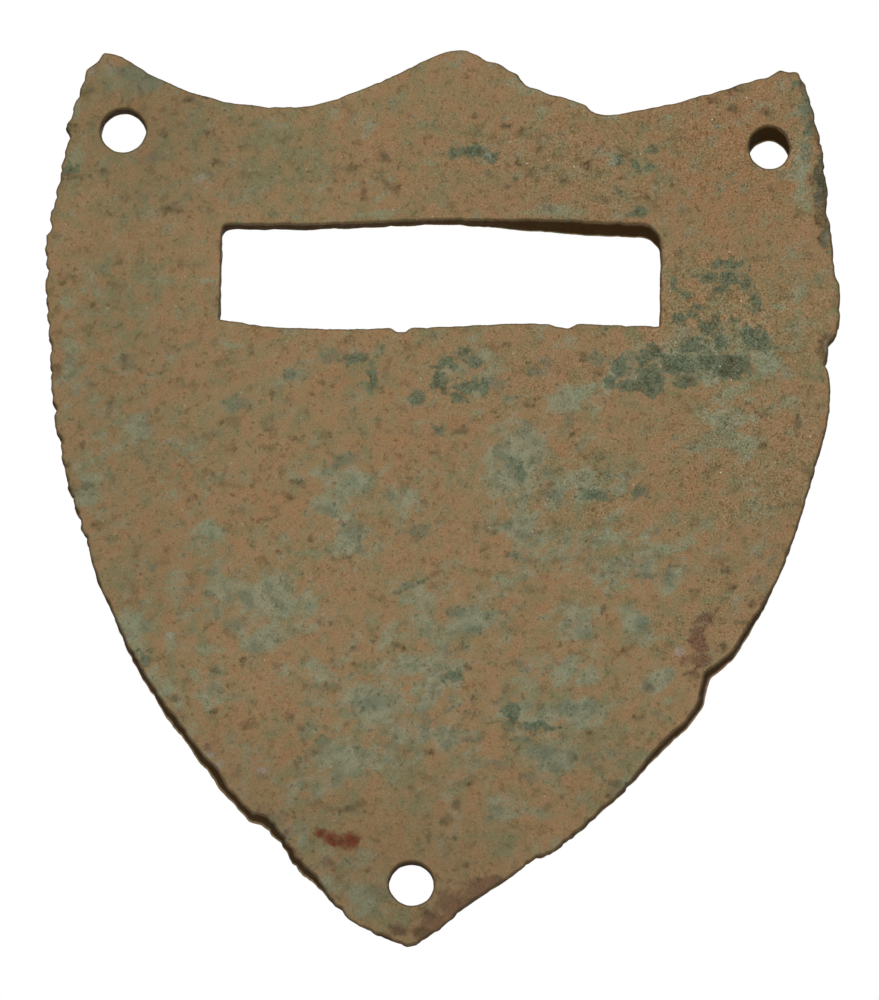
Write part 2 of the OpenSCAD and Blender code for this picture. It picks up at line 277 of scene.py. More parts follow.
# Soft areas, as [x, z, half width, half height, strength]. Pale grey-green haze
HAZE = [
    (-24.2, 14.7, 0.8, 0.6, 0.6), (-26, 9, 0.8, 2, 0.5), (-21.5, 4.6, 1.5, 1.2, 0.6),
    (-24.5, 0.5, 1.4, 1.8, 0.6), (-16.3, -2.6, 1.2, 1.4, 0.5), (-15.5, -6.2, 1.5, 0.8, 0.7),
    (-12.5, -7.6, 2.6, 1.5, 0.8), (-12.5, -10.5, 1.2, 1.2, 0.6), (-9.8, -13, 1.3, 1, 0.5),
    (-5, -15, 2.4, 1.7, 0.9), (-6.8, -18.6, 2.2, 1.4, 0.7), (-3.5, -18.6, 2.2, 1.1, 0.6),
    (-1, -14, 1, 1.2, 0.7), (-2.3, -12.3, 1.5, 1, 0.6), (-1, -8, 1.6, 1, 0.6), (5.5, 1.8, 2, 3, 0.8),
    (5.5, -2.5, 2, 2, 0.5), (9.8, 0.2, 2.6, 1.1, 0.6), (11, -3.5, 1.6, 1.2, 0.6), (8, -4.2, 1.6, 0.8, 0.5),
    (15, -5.8, 1.8, 1.2, 0.6), (13.8, -3, 0.8, 0.9, 0.5), (8, -13, 2.5, 1.3, 0.6), (10.2, -12.8, 1, 1, 0.6),
    (13.6, -9.6, 1.2, 1.3, 0.7), (9, -9.4, 1.6, 1, 0.6), (2, -9, 1.4, 1.2, 0.6), (0.6, -12.5, 1.2, 1, 0.6),
    (6.5, -16, 2.4, 1.3, 0.6), (9.5, -15.2, 1.6, 1.1, 0.8), (7.2, -18.5, 1.8, 1.1, 0.9),
    (3.9, -22.3, 1.2, 1, 0.6), (-9.2, -24.7, 0.5, 0.8, 0.7), (-10.8, -24, 1, 0.8, 0.4),
    (-7.3, -26.5, 1, 0.7, 0.5), (-5, -29.3, 1.2, 0.9, 0.6), (2, 8.4, 2, 1.6, 0.5),
    (9.3, 6.9, 1.6, 1.1, 0.7), (12.5, 8.6, 1.3, 1.3, 0.5), (17, 9.8, 3, 1.6, 0.7),
    (21.5, 10.2, 1.6, 1.6, 0.5), (19.5, 4.8, 1.8, 1.4, 0.7), (22.6, 9, 1.3, 0.9, 0.7),
    (-6.8, 0.2, 2.2, 2.2, 0.6), (-6.6, -3.2, 1.8, 1.4, 0.6), (-3, -1, 1.6, 1.6, 0.5),
    (-21.4, -9.8, 1, 1.2, 0.7), (-19.2, -13.6, 0.9, 1, 0.7), (-17.5, -8.5, 1.6, 1.2, 0.4),
    (25.6, 22.5, 0.7, 2.6, 0.6), (25.6, 28, 0.5, 1.2, 0.6), (-22.5, 30.2, 2.4, 0.9, 0.6),
    (3, 24.4, 1.6, 0.8, 0.5), (11.5, 24, 1.2, 1, 0.3), (7, 20.2, 3, 0.4, 0.4), (-15.8, -14.5, 1, 1.2, 0.4),
    (15, -13, 1.2, 0.9, 0.5), (0.7, -17.5, 0.9, 1, 0.6), (-10.6, 8.6, 1, 0.8, 0.4),
    (-14.5, -7.5, 4, 2.2, 0.55), (-3, -16.5, 4, 3, 0.45), (0, -10, 4, 3, 0.3), (-6.5, -28.3, 2, 1.2, 0.5),
    (12, -4, 3, 3, 0.35), (-9, -21, 3, 2, 0.3),
]

# Olive-green areas
OLIVE = [
    (-12, 24, 3.5, 3.5, 0.8), (-22, 20.5, 3, 2, 0.5), (-16.5, 25, 2.5, 2.5, 0.6), (-22.5, 14.5, 3, 4, 0.7),
    (-20, 3, 4, 4, 0.5), (-24, 6, 2, 3, 0.5), (-22, -8, 3, 3, 0.5), (10, 22.5, 5, 2, 0.3),
    (4, 25, 4, 2, 0.3), (14.5, 24, 2, 3, 0.4), (-14, 6, 3, 2, 0.4), (-7, 1, 3, 4, 0.6), (2, -9, 4, 3, 0.5),
    (-10, -18, 4, 2, 0.3), (-2, -21, 4, 2, 0.5), (4, -24, 3, 2, 0.6), (-5.5, -28.5, 3, 2, 0.6),
    (10, -18, 4, 3, 0.6), (16, -8, 3, 3, 0.4), (20, 9, 4, 3, 0.6), (18, 15, 3, 2, 0.5), (24, 8, 2, 4, 0.4),
    (-17, -13, 3, 3, 0.4), (12, 2, 3, 2, 0.5), (-22, 24, 5, 6, 0.5), (11, -4, 4, 4, 0.5),
    (-3.5, -29.8, 2, 1.2, 0.8),
]

# Warm orange-brown areas
WARM = [
    (-22.5, 26, 2, 2, 0.6), (-21, 25, 2, 1.5, 0.4), (-1.5, 23.5, 2, 1.5, 0.4), (8.7, 20.9, 1, 0.6, 0.8),
    (14.5, 26.8, 0.8, 0.5, 0.8), (-7, 7.9, 2.2, 1, 0.7), (-12, 11.5, 1.2, 0.7, 0.7),
    (-18.5, 1.5, 2, 1.6, 0.5), (-11.5, -1, 3, 2.2, 0.5), (-8, 0.6, 0.9, 0.4, 0.8),
    (-6.3, -1, 0.5, 0.7, 0.8), (0.9, 5.4, 1, 0.4, 0.9), (8.5, 3, 1, 0.8, 0.7), (9.6, -3.8, 0.6, 0.5, 0.8),
    (7.2, -6.3, 0.5, 0.4, 0.8), (17.5, 0, 3, 2.2, 0.5), (21, 24, 8, 8, 0.6), (-5.3, -13.2, 1, 0.8, 0.7),
    (-2.2, -15.8, 1, 0.8, 0.7), (-10.5, -18, 1, 1.2, 0.7), (-4.2, -14.2, 0.8, 0.4, 0.8),
    (-15, -16.5, 3, 2, 0.5), (4, -11, 2, 2, 0.4), (-3, 4, 4, 2, 0.4), (8, 13, 4, 1, 0.4),
    (-8, -22.5, 4, 1.2, 0.5), (-21, -3, 3, 2, 0.4), (18, 19, 3, 2, 0.4), (12.5, 24.8, 4, 2.5, 0.4),
]

# Darker areas of the front: painted shade where the light falls off, mostly towards the bottom, the left and
# the top left
SHADE_AND_GRIME = [
    (-3, -28, 12, 8, 0.65), (-24, 8, 6, 24, 0.35), (-22, 27, 8, 7, 0.6), (14, -22, 8, 5, 0.4),
    (-15, -22, 8, 5, 0.5), (-12, 24, 6, 3, 0.15), (25, -2, 3, 8, 0.2), (-21, -6, 5, 7, 0.3),
    (6, 22, 8, 4, 0.15),
]

# Areas with most grit and grain
SPECKLED = [
    (22, 24, 9, 10, 0.8), (19, 13, 8, 6, 1), (9, 23, 8, 5, 0.75), (8, 9, 8, 3.5, 0.6), (21, 2, 8, 7, 0.85),
    (0, 25, 6, 4, 0.4), (2, 8, 6, 3, 0.45), (-20, 28, 8, 4, 0.2), (19, -9, 5, 5, 0.6), (10, 0, 5, 5, 0.6),
]

# Purple-brown cuprite
CUPRITE = [
    (18.4, -9.3, 0.6, 0.4, 1.4), (17.6, -10.3, 0.7, 0.6, 1.4), (17.5, -11.5, 1.2, 0.7, 1),
    (18.2, -12.3, 0.8, 0.5, 0.6), (16.3, -11.4, 0.8, 0.6, 0.4), (-19, 20.2, 1.2, 0.5, 0.6),
    (14.5, 26.8, 0.8, 0.5, 0.4), (7.6, 0.6, 0.6, 0.5, 0.5), (2.4, -15.2, 0.5, 0.9, 0.4),
    (26.6, 10, 0.5, 1, 0.6), (22.8, 27.5, 0.5, 0.5, 0.6), (-18.1, -15.5, 0.5, 0.6, 0.5),
    (-2, 29.4, 1, 0.5, 0.3), (26.6, 22.5, 0.5, 2.4, 0.4), (20.8, 28.2, 1.2, 1, 0.3),
    (2.6, -27.8, 1.3, 0.8, 1.5), (1.2, -29.1, 1.3, 0.8, 1.7), (-0.4, -30.6, 1.3, 0.7, 1.5),
    (-2.7, -30.8, 0.9, 0.5, 1), (-10.8, -24.3, 1, 0.8, 0.8), (-12, -22.6, 0.9, 0.6, 0.7),
    (-9.8, -25.4, 0.9, 0.6, 0.7), (-15.5, -18.6, 0.8, 0.6, 0.6), (-7.5, -26.6, 0.8, 0.5, 0.7),
    (-25, 30.4, 0.5, 0.4, 0.7), (-26.7, 23.2, 0.4, 0.3, 0.7),
]

# Grooves and cracks, as a half width, a depth and the [x, z] points they run through
GROOVES = [
    (0.1, 0.05, [(-12.5, 1.3), (-11.8, 2), (-11.1, 2.5)]),
    (0.12, 0.08, [(-3.2, -7.3), (-2, -6.8), (-0.9, -6.1), (0, -5.6)]),
    (0.12, 0.07, [(-7.2, -8.8), (-6.7, -9), (-6.2, -9.5)]),
    (0.1, 0.05, [(-16.2, 26), (-15, 24.6)]),
    (0.12, 0.05, [(-21.8, 9), (-21, 8.6), (-20.2, 8.4), (-19.3, 8.7)]),
    (0.1, 0.05, [(-22.8, 7.6), (-22, 7.8)]),
    (0.12, 0.05, [(-5.8, -3.2), (-5.8, -4), (-6.5, -4.7), (-7.5, -4.9)]),
    (0.1, 0.05, [(-23.1, 6.4), (-22.3, 5.6)]),
    (0.1, 0.05, [(14.8, 22.5), (15.3, 21.9), (16.3, 22.3)]),
    (0.1, 0.05, [(0.5, -2.9), (1.4, -3.2), (2.8, -3.7)]),
    (0.1, 0.05, [(5.1, -23.6), (5.7, -24.2), (6.1, -23.9)]),
    (0.08, 0.05, [(-7.3, -27.5), (-6.3, -27.6)]),
    (0.1, 0.06, [(-4.3, -29.7), (-4, -30.3)]),
    (0.12, 0.05, [(-0.8, -12.6), (-1.3, -13.8)]),
    (0.1, 0.04, [(11.2, -12.4), (12.8, -11.2)]),
    (0.1, 0.05, [(5.5, -17), (7, -16.9), (8.9, -16.5)]),
    (0.1, 0.04, [(12.2, 24.9), (12.9, 24.6), (13.2, 24)]),
    (0.12, 0.05, [(18.7, -9), (17.9, -10), (17.2, -10.8)]),
]


# Numbers that vary smoothly over the plate

def lattice(column, row, seed):
    """A repeatable number from -1 to 1 for each whole-numbered place. Large odd factors scatter the bits."""
    mixed = (column * 374761393 + row * 668265263 + seed * 974634777) & 0xFFFFFFFF
    mixed = ((mixed ^ (mixed >> 13)) * 1274126177) & 0xFFFFFFFF
    return ((mixed ^ (mixed >> 16)) & 0xFFFF) / 32767.5 - 1


def noise(places, size, seed):
    """Smooth noise from -1 to 1 whose bumps are about size millimetres across."""
    turn = seed * 0.7
    turned = places @ np.array([[math.cos(turn), -math.sin(turn)], [math.sin(turn), math.cos(turn)]]) / size
    cell = np.floor(turned).astype(np.int64)
    share = turned - cell
    share = share * share * (3 - 2 * share)
    corner = [[lattice(cell[:, 0] + i, cell[:, 1] + j, seed) for j in (0, 1)] for i in (0, 1)]
    low = corner[0][0] + (corner[1][0] - corner[0][0]) * share[:, 0]
    high = corner[0][1] + (corner[1][1] - corner[0][1]) * share[:, 0]
    return low + (high - low) * share[:, 1]


def layered(places, size, seed):
    """Noise with two finer, weaker layers added, still about -1 to 1."""
    weights = (1, 0.5, 0.25)
    total = sum(noise(places, size * weight, seed + 11 * k) * weight for k, weight in enumerate(weights))
    return total / sum(weights)


def smooth_step(value, low, high):
    """A smooth rise from 0 at low to 1 at high."""
    share = np.clip((value - low) / (high - low), 0, 1)
    return share * share * (3 - 2 * share)


def soft_field(places, areas):
    """The strongest of several soft areas at each place, from 0 to 1."""
    field = np.zeros(len(places))
    for x, z, half_x, half_z, strength in areas:
        square = ((places[:, 0] - x) / half_x) ** 2 + ((places[:, 1] - z) / half_z) ** 2
        field = np.maximum(field, strength * np.exp(-AREA_FALLOFF * square))
    return field


def round_sum(places, areas):
    """The sum of soft round areas, given as x, z, reach and strength."""
    field = np.zeros(len(places))
    for x, z, reach, strength in areas:
        square = ((places[:, 0] - x) ** 2 + (places[:, 1] - z) ** 2) / reach**2
        field += strength * np.exp(-square)
    return field


def spot_field(places, spots):
    """Millimetres inside the edge of the nearest spot, and below zero outside it."""
    field = np.full(len(places), -SPOT_REACH)
    for x, z, half_x, half_z, *turn in spots:
        reach = max(half_x, half_z) + SPOT_REACH
        near = np.flatnonzero((np.abs(places[:, 0] - x) < reach) & (np.abs(places[:, 1] - z) < reach))
        angle = math.radians(turn[0]) if turn else 0
        dx = places[near, 0] - x
        dz = places[near, 1] - z
        along = dx * math.cos(angle) + dz * math.sin(angle)
        across = dz * math.cos(angle) - dx * math.sin(angle)
        inside = (1 - np.hypot(along / half_x, across / half_z)) * min(half_x, half_z)
        field[near] = np.maximum(field[near], inside)
    return field


def line_distance(places, line):
    """Millimetres from each place to a line of points."""
    nearest = np.full(len(places), np.inf)
    for start, end in zip(line[:-1], line[1:]):
        start = np.array(start)
        run = np.array(end) - start
        share = np.clip((places - start) @ run / (run @ run), 0, 1)
        nearest = np.minimum(nearest, np.hypot(*(places - start - share[:, None] * run).T))
    return nearest


# The rims, read from the CAD node

def face_loops(mesh, y_mm):
    """The closed rims of the CAD face at this y, as arrays of [x, z] with the metal on their left."""
    found = {}
    sides = set()
    for face in mesh.polygons:
        corners = [mesh.vertices[i].co / MM for i in face.vertices]
        if all(abs(c.y - y_mm) < 0.01 for c in corners):
            ids = [found.setdefault((round(c.x, 3), round(c.z, 3)), len(found)) for c in corners]
            sides.update(zip(ids, ids[1:] + ids[:1]))
    places = np.array(list(found))
    following = {a: b for a, b in sides if (b, a) not in sides}
    loops = []
    while following:
        first = min(following)
        chain = [first]
        step = following.pop(first)
        while step != first:
            chain.append(step)
            step = following.pop(step)
        loops.append(places[chain])
    return loops


def twice_area(loop):
    """Twice the area inside a loop, below zero where it runs round a hole."""
    after = np.roll(loop, -1, axis=0)
    return float(np.sum(loop[:, 0] * after[:, 1] - after[:, 0] * loop[:, 1]))


def evenly(loop, count):
    """The same closed loop with evenly spaced points, from its top point on."""
    loop = np.roll(loop, -int(np.argmax(loop[:, 1])), axis=0)
    closed = np.vstack([loop, loop[:1]])
    run = np.concatenate([[0], np.cumsum(np.hypot(*np.diff(closed, axis=0).T))])
    at = np.linspace(0, run[-1], count, endpoint=False)
    return np.stack([np.interp(at, run, closed[:, k]) for k in (0, 1)], axis=1)


def softened(loop, passes):
    """The loop with its corners worn round."""
    for _ in range(passes):
        loop = (np.roll(loop, 1, axis=0) + 2 * loop + np.roll(loop, -1, axis=0)) / 4
    return loop


def inward(loop):
    """The direction into the metal at each point of a loop."""
    along = np.roll(loop, -1, axis=0) - np.roll(loop, 1, axis=0)
    along /= np.hypot(*along.T)[:, None]
    return np.stack([-along[:, 1], along[:, 0]], axis=1)


def is_hole(loop):
    return np.ptp(loop[:, 0]) < HOLE_WIDTH


def rim_pairs(mesh, thickness):
    """Each rim of the plate as a front loop and a back loop whose points answer to each other."""
    fronts = sorted(face_loops(mesh, -thickness), key=twice_area)
    backs = sorted((loop[::-1] for loop in face_loops(mesh, 0)), key=twice_area)
    pairs = []
    for front, back in zip(fronts, backs):
        length = np.sum(np.hypot(*(np.roll(front, -1, axis=0) - front).T))
        count = round(length / RIM_SPACING)
        passes = HOLE_PASSES if is_hole(front) else RIM_PASSES
        pairs.append((softened(evenly(front, count), passes), softened(evenly(back, count), passes + 1)))
    return pairs


# Wear on the rims

def bitten(loop, seed):
    """How far a rim has been bitten into, by sharp notches about a millimetre apart, grain and BITES."""
    rough = HOLE_ROUGHNESS if is_hole(loop) else RIM_ROUGHNESS + round_sum(loop, ROUGH_EDGES)
    notches = np.maximum(0, 1 - 3 * np.abs(noise(loop, 1.5, 3)))
    worn = NOTCH_DEPTH * notches + COARSE_GRAIN * noise(loop, 0.5, seed)
    worn += FINE_GRAIN * noise(loop, 0.27, seed + 1)
    return rough * (worn - MEAN_BITE) + round_sum(loop, BITES)


def worn_front(loop):
    """The front rim, which leans in where the cut edge shows from the front."""
    return loop + inward(loop) * (bitten(loop, 4) + round_sum(loop, LEANING_EDGES))[:, None]


def worn_back(loop):
    """The back rim. The slot's top edge hangs lower there towards its right end."""
    worn = loop + inward(loop) * bitten(loop, 14)[:, None]
    narrowest, widest = SLOT_WIDTHS
    if narrowest < np.ptp(loop[:, 0]) < widest:
        worn[:, 1] -= SLOT_SAG * smooth_step(loop[:, 0], 0, 10) * smooth_step(loop[:, 1], 17, 19)
    return worn


def wall_rings(front, back, thickness):
    """Loops of places and depths down a cut edge, between the front rim and the back rim."""
    rings = []
    for step in range(1, WALL_STEPS):
        share = step / WALL_STEPS
        loop = front + (back - front) * share
        # Each loop takes its tears from another part of the noise.
        tear = 0.05 * noise(loop + 40 * share, 0.8, 21) + 0.03 * noise(loop + 90 * share, 0.35, 22)
        fade = math.sin(math.pi * share)
        depth = thickness - FRONT_ROUNDING + (BACK_ROUNDING + FRONT_ROUNDING - thickness) * share
        rings.append((loop + inward(front) * (tear * fade)[:, None], np.full(len(loop), depth)))
    return rings


class RimDistance:
    """Finds how far places are inside the metal from the nearest of some loops, below zero outside it."""

    def __init__(self, loops):
        dense = [evenly(loop, 4 * len(loop)) for loop in loops]
        self.points = np.vstack(dense)
        self.normals = np.vstack([inward(loop) for loop in dense])
        self.tree = kdtree.KDTree(len(self.points))
        for i, (x, z) in enumerate(self.points):
            self.tree.insert((x, z, 0), i)
        self.tree.balance()

    def __call__(self, places):
        nearest = np.array([self.tree.find((x, z, 0))[1] for x, z in places])
        offset = places - self.points[nearest]
        side = np.sign(np.sum(offset * self.normals[nearest], axis=1))
        return np.hypot(*offset.T) * side


# The skin of the plate

def filled_sheet(loops, spacing, rng):
    """Places and triangles that fill the area between loops. The loops' own points come first."""
    distance = RimDistance(loops)
    parts = list(loops)
    for inset in RIM_INSETS:
        for loop in loops:
            ring = loop + inward(loop) * inset
            # A point that a bend of the rim has come near to would be crowded, and is left out.
            parts.append(ring[distance(ring) > 0.8 * inset])
    outline = loops[-1]
    low = np.min(outline, axis=0)
    high = np.max(outline, axis=0)
    rows = np.arange(low[1], high[1], spacing * math.sin(math.radians(60)))
    columns = np.arange(low[0], high[0], spacing)
    grid = np.array([(x + spacing / 2 * (j % 2), z) for j, z in enumerate(rows) for x in columns])
    grid += rng.uniform(-GRID_JITTER, GRID_JITTER, grid.shape) * spacing
    parts.append(grid[distance(grid) > RIM_INSETS[-1] + GRID_START * spacing])
    places = np.vstack(parts)

    edges = []
    start = 0
    for loop in loops:
        edges += [(start + i, start + (i + 1) % len(loop)) for i in range(len(loop))]
        start += len(loop)
    result = geometry.delaunay_2d_cdt([Vector(p) for p in places], edges, [], 0, 1e-7, False)
    triangles = np.array(result[2])
    # Triangles across the slot, the holes and the hollows of the outline only have rim points.
    at_rim = np.all(triangles < start, axis=1)
    middles = places[triangles[at_rim]].mean(axis=1)
    keep = np.ones(len(triangles), bool)
    keep[at_rim] = distance(middles) > 0
    return places, triangles[keep], distance(places)


def rounded(distance, radius):
    """How far a worn edge of this radius falls away at each distance from the rim."""
    share = np.clip(1 - distance / radius, 0, 1)
    return radius * (1 - np.sqrt(1 - share * share))


def random_pits(places, rng, count, size, depth):
    """Small seeded pits scattered over the plate."""
    low = places.min(axis=0)
    high = places.max(axis=0)
    spots = [
        (*rng.uniform(low, high), *(rng.uniform(0.6, 1.4, 2) * size), rng.uniform(0, 180))
        for _ in range(count)
    ]
    return -depth * smooth_step(spot_field(places, spots), -0.12, 0.6 * size)


def front_relief(places, fields, rng):
    """How far the corroded front stands proud of the flat sheet. Each noise has a height in front of it."""
    relief = 0.1 * noise(places, 13, 31) + 0.05 * noise(places, 5, 32)
    relief += 0.035 * layered(places, 1.8, 33) + 0.018 * noise(places, 0.6, 34)
    for name, height in GROWTH_HEIGHTS.items():
        relief += height * smooth_step(fields[name], -0.1, 0.15)
    relief += random_pits(places, rng, count=900, size=0.22, depth=0.05)
    for half_width, depth, line in GROOVES:
        relief -= depth * (1 - smooth_step(line_distance(places, line), 0.4 * half_width, 2.2 * half_width))
    return relief


def back_relief(places, rng):
    """How far the back stands proud of the flat sheet. It is rougher, with broad shallow craters."""
    relief = 0.1 * noise(places, 11, 41) + 0.06 * layered(places, 3.5, 42) + 0.02 * noise(places, 1, 43)
    return relief + random_pits(places, rng, count=260, size=0.6, depth=0.08)


def front_fields(places):
    """The corrosion fields of the front, and one field of painted shade, at wobbled places so that no spot
    is a plain ellipse.
    """
    wobble = np.stack([noise(places, 0.7, 51), noise(places, 0.7, 52)], axis=1)
    drift = np.stack([noise(places, 2.2, 53), noise(places, 2.2, 54)], axis=1)
    crisp = places + 0.16 * wobble + 0.1 * drift
    soft = places + 0.3 * wobble + 0.5 * drift
    grooves = np.min([line_distance(places, line) - half_width for half_width, _, line in GROOVES], axis=0)
    return {
        "teal": spot_field(crisp, TEAL),
        "smudge": spot_field(crisp, SMUDGES),
        "dark": np.maximum(spot_field(crisp, DARK), np.maximum(-grooves - 0.1, -SPOT_REACH)),
        "mint": spot_field(crisp, MINT),
        "lilac": spot_field(crisp, LILAC),
        "rust": spot_field(crisp, RUST),
        "haze": soft_field(soft, HAZE),
        "olive": soft_field(soft, OLIVE),
        "warm": soft_field(soft, WARM),
        "cuprite": soft_field(soft, CUPRITE),
        # Painted shade where the light falls off
        "shade_and_grime": soft_field(soft, SHADE_AND_GRIME),
        "speckled": soft_field(soft, SPECKLED),
    }


def back_fields(places):
    """The corrosion fields of the back, which no photograph shows: the same kinds, laid down by noise."""
    return {
        "teal": 0.6 * layered(places, 3.2, 61) - 0.3,
        "smudge": 0.6 * layered(places, 1.9, 60) - 0.3,
        "dark": 0.5 * layered(places, 1.1, 62) - 0.33,
        "mint": 0.6 * layered(places, 2.4, 63) - 0.33,
        "lilac": np.full(len(places), -SPOT_REACH),
        "rust": 0.5 * layered(places, 2, 64) - 0.42,
        "haze": 0.6 * smooth_step(layered(places, 6, 65), 0, 0.7),
        "olive": smooth_step(layered(places, 8, 66), -0.2, 0.5),
        "warm": 0.5 * smooth_step(layered(places, 7, 67), 0, 0.7),
        "cuprite": smooth_step(layered(places, 5, 68), 0.3, 0.7),
        # Grime, darker at random; the front's field of this name is painted shade
        "shade_and_grime": 0.3 + 0.5 * smooth_step(layered(places, 9, 69), -0.4, 0.8),
        "speckled": smooth_step(layered(places, 7, 70), -0.4, 0.8),
    }


def strip_faces(upper, lower, count):
    """Faces between two closed rows of count points, given by the number of each row's first point."""
    after = [(i + 1) % count for i in range(count)]
    return [(upper + i, lower + i, lower + j, upper + j) for i, j in enumerate(after)]


def build_walls(pairs, thickness, front_count):
    """The points between the rims as places, depths, wall fields and rim fields, and the walls' faces.

    The points are numbered on from those of the front, and those of the back follow them. The rims' own
    points are the first ones of the front and of the back.
    """
    rows = []
    faces = []
    rim_start = 0
    row_start = front_count
    back_start = front_count + sum((WALL_STEPS - 1) * len(front) for front, _ in pairs)
    outline = pairs[-1]
    for pair in pairs:
        count = len(pair[0])
        starts = [rim_start]
        for step, (loop, depth) in enumerate(wall_rings(*pair, thickness), 1):
            # The outline's cut edge is dark with its crust and painted shade in front, and has the colours
            # of the faces towards the back.
            bare = smooth_step(step / WALL_STEPS, 0.5, 1) if pair is outline else 0
            rows.append((loop, depth, np.full(count, 1 - bare), np.full(count, NO_RIM * bare)))
            starts.append(row_start)
            row_start += count
        starts.append(back_start + rim_start)
        for upper, lower in zip(starts[:-1], starts[1:]):
            faces += strip_faces(upper, lower, count)
        rim_start += count
    return (*(np.concatenate(column) for column in zip(*rows)), faces)


def build_skin(mesh, thickness):
    """The plate's skin as vertices, faces and fields."""
    rng = np.random.default_rng(SEED)
    pairs = [(worn_front(front), worn_back(back)) for front, back in rim_pairs(mesh, thickness)]
    front, front_faces, front_inside = filled_sheet([pair[0] for pair in pairs], FRONT_SPACING, rng)
    back, back_faces, back_inside = filled_sheet([pair[1] for pair in pairs], BACK_SPACING, rng)
    middle, middle_depth, middle_wall, middle_rim, middle_faces = build_walls(pairs, thickness, len(front))
    paint = [front_fields(front), front_fields(middle), back_fields(back)]

    rise = smooth_step(front_inside, 0, FRONT_SETTLE) * front_relief(front, paint[0], rng)
    front_depth = thickness - rounded(front_inside, FRONT_ROUNDING) + rise
    rise = smooth_step(back_inside, 0, BACK_SETTLE) * back_relief(back, rng)
    back_depth = rounded(back_inside, BACK_ROUNDING) - rise
    places = np.vstack([front, middle, back])
    depths = np.concatenate([front_depth, middle_depth, back_depth])
    vertices = np.stack([places[:, 0], -depths, places[:, 1]], axis=1) * MM
    back_faces = back_faces[:, ::-1] + len(front) + len(middle)
    faces = front_faces.tolist() + middle_faces + back_faces.tolist()

    fields = {name: np.concatenate([part[name] for part in paint]) for name in paint[0]}
    # The front rims' own points take half the dark crust and painted shade of the cut edges below them.
    front_wall = np.where(front_inside < 0.01, 0.5, 0.0)
    fields["wall"] = np.concatenate([front_wall, middle_wall, np.zeros(len(back))])
    fields["rim"] = np.concatenate([front_inside, middle_rim, back_inside + NO_RIM])
    return vertices, faces, fields


def make_plate(node):
    low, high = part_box(node)
    thickness = (high.y - low.y) / MM
    vertices, faces, fields = build_skin(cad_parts[node].data, thickness)
    mesh = bpy.data.meshes.new("shield_plate_skin")
    mesh.from_pydata(vertices, [], faces)
    for name, values in fields.items():
        mesh.attributes.new(name, "FLOAT", "POINT").data.foreach_set("value", values.astype(np.float32))
    mesh.shade_smooth()
    plate = bpy.data.objects.new("shield_plate_skin", mesh)
    bpy.context.scene.collection.objects.link(plate)
    return plate


# Materials

def tone(name):
    """The linear colour that a shader wants for a colour that is given as it looks on screen."""
    parts = [c / 255 for c in COLOURS[name]]
    return tuple(c / 12.92 if c <= 0.04045 else ((c + 0.055) / 1.055) ** 2.4 for c in parts) + (1,)


class Graph:
    """A material whose nodes are added and joined by short calls."""

    def __init__(self, name):
        self.material = bpy.data.materials.new(name)
        self.material.use_nodes = True
        self.tree = self.material.node_tree
        self.tree.nodes.clear()
        self.place = self.add("ShaderNodeTexCoord").outputs["Object"]

    def add(self, kind, sockets=None, **settings):
        """A new node. A socket's value is a number, a colour or another node's output."""
        node = self.tree.nodes.new(kind)
        for name, value in settings.items():
            setattr(node, name, value)
        for name, value in (sockets or {}).items():
            if isinstance(value, bpy.types.NodeSocket):
                self.tree.links.new(value, node.inputs[name])
            else:
                node.inputs[name].default_value = value
        return node

    def field(self, name):
        return self.add("ShaderNodeAttribute", attribute_name=name).outputs["Fac"]

    def noise(self, place, size, detail, roughness=0.55):
        """Noise from 0 to 1 with bumps about size millimetres across."""
        sockets = {"Vector": place, "Scale": 1 / (size * MM), "Detail": detail, "Roughness": roughness}
        return self.add("ShaderNodeTexNoise", sockets).outputs["Fac"]

    def cells(self, size):
        """Distance to the nearest of scattered points about size millimetres apart, as a share of size."""
        sockets = {"Vector": self.place, "Scale": 1 / (size * MM)}
        return self.add("ShaderNodeTexVoronoi", sockets).outputs["Distance"]

    def math(self, operation, a, b):
        return self.add("ShaderNodeMath", {0: a, 1: b}, operation=operation).outputs[0]

    def ramp(self, value, low, high, start=0.0, end=1.0):
        """A smooth change from start to end while the value goes from low to high."""
        sockets = {"Value": value, "From Min": low, "From Max": high, "To Min": start, "To Max": end}
        return self.add("ShaderNodeMapRange", sockets, interpolation_type="SMOOTHSTEP").outputs[0]

    def mix(self, share, a, b, blend="MIX"):
        sockets = {0: share, 6: a, 7: b}
        return self.add("ShaderNodeMix", sockets, data_type="RGBA", blend_type=blend).outputs[2]

    def finish(self, sockets):
        """The material, with one shader whose sockets are set as given."""
        shader = self.add("ShaderNodeBsdfPrincipled", sockets).outputs["BSDF"]
        self.add("ShaderNodeOutputMaterial", {"Surface": shader})
        return self.material


